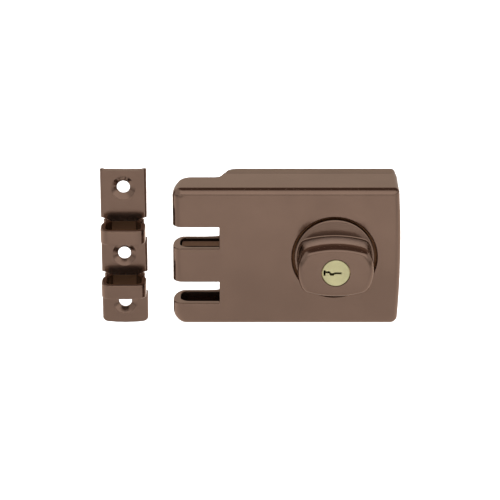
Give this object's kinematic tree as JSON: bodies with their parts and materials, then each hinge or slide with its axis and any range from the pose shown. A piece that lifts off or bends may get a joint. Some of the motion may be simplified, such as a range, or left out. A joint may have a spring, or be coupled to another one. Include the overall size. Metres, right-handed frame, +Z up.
{
  "type": "rim night latch",
  "caption": "Rim lock with a fingered case, a turn knob that holds a key plug, a drop bolt with prongs, and a screw-on strike with rings.",
  "frame": {"origin": "axis of the knob, the key plug and the tail bar hole, on the door face that the case is screwed to", "axes": "+X along the door from the frame to the hinge side, +Y into the door, +Z up; the case's front faces -Y"},
  "size_m": [0.159, 0.058, 0.087],
  "materials": {
    "brown_finish": "gloss brown coating over a zinc casting, slight orange peel",
    "brown_base": "gloss brown coating over a zinc casting, a little thinner",
    "knob_finish": "gloss brown coating over a zinc casting",
    "strike_finish": "gloss brown coating over a zinc casting",
    "zinc_plate": "bright zinc plated sheet steel",
    "bolt_plate": "zinc plated sheet steel, rubbed where it slides",
    "prong_steel": "hardened steel with a dark oiled finish",
    "hub_metal": "plain zinc casting",
    "pin_steel": "turned steel",
    "screw_steel": "zinc plated steel",
    "screw_dark": "browned steel",
    "spring_steel": "blued spring steel",
    "brass_body": "turned brass",
    "pin_brass": "turned brass",
    "plug_brass": "satin brass face"
  },
  "bodies": {
    "case": {"case_cover": "brown_finish", "base": "brown_base", "mounting_plate": "zinc_plate", "cover_screws": "screw_steel", "case_fixing_screws": "screw_dark", "lock_ring": "pin_steel", "guide_posts": "screw_steel", "detent_spring": "spring_steel"},
    "knob": {"knob_grip": "knob_finish", "cylinder_body": "brass_body", "driver_pins": "pin_brass", "pin_springs": "spring_steel", "chamber_cap": "brass_body", "retainer_plate": "zinc_plate", "driver_hub": "hub_metal", "hub_screws": "screw_steel", "crank_pin": "pin_steel"},
    "plug": {"key_plug": "plug_brass", "key_pins": "pin_brass", "plug_cam": "pin_steel", "cam_screw": "screw_steel"},
    "lock_bar": {"locking_bar": "pin_steel"},
    "bolt": {"bolt_carriage": "bolt_plate", "upper_prong": "prong_steel", "lower_prong": "prong_steel", "prong_rivets": "screw_steel"},
    "strike": {"strike": "strike_finish"}
  },
  "joints": [
    {"name": "knob_turn", "type": "hinge", "parent": "case", "child": "knob", "pos_m": [0, 0, 0], "axis": [0, -1, 0], "range_deg": [0, 90], "deforming": ["detent_spring"]},
    {"name": "bolt_drop", "type": "slide", "parent": "case", "child": "bolt", "axis": [0, 0, -1], "range_m": [0, 0.014]},
    {"name": "plug_turn", "type": "hinge", "parent": "knob", "child": "plug", "pos_m": [0, 0, 0], "axis": [0, -1, 0], "range_deg": [0, 90]},
    {"name": "bar_push", "type": "slide", "parent": "knob", "child": "lock_bar", "axis": [0, 0, 1], "range_m": [0, 0.004]},
    {"name": "strike_close", "type": "slide", "parent": "case", "child": "strike", "axis": [1, 0, 0], "range_m": [0, 0.036]}
  ],
  "couplings": [
    {"joint": "bolt_drop", "follows": "knob_turn", "m_per_rad": 0.0089126},
    {"joint": "bar_push", "follows": "plug_turn", "m_per_rad": 0.0025464}
  ]
}
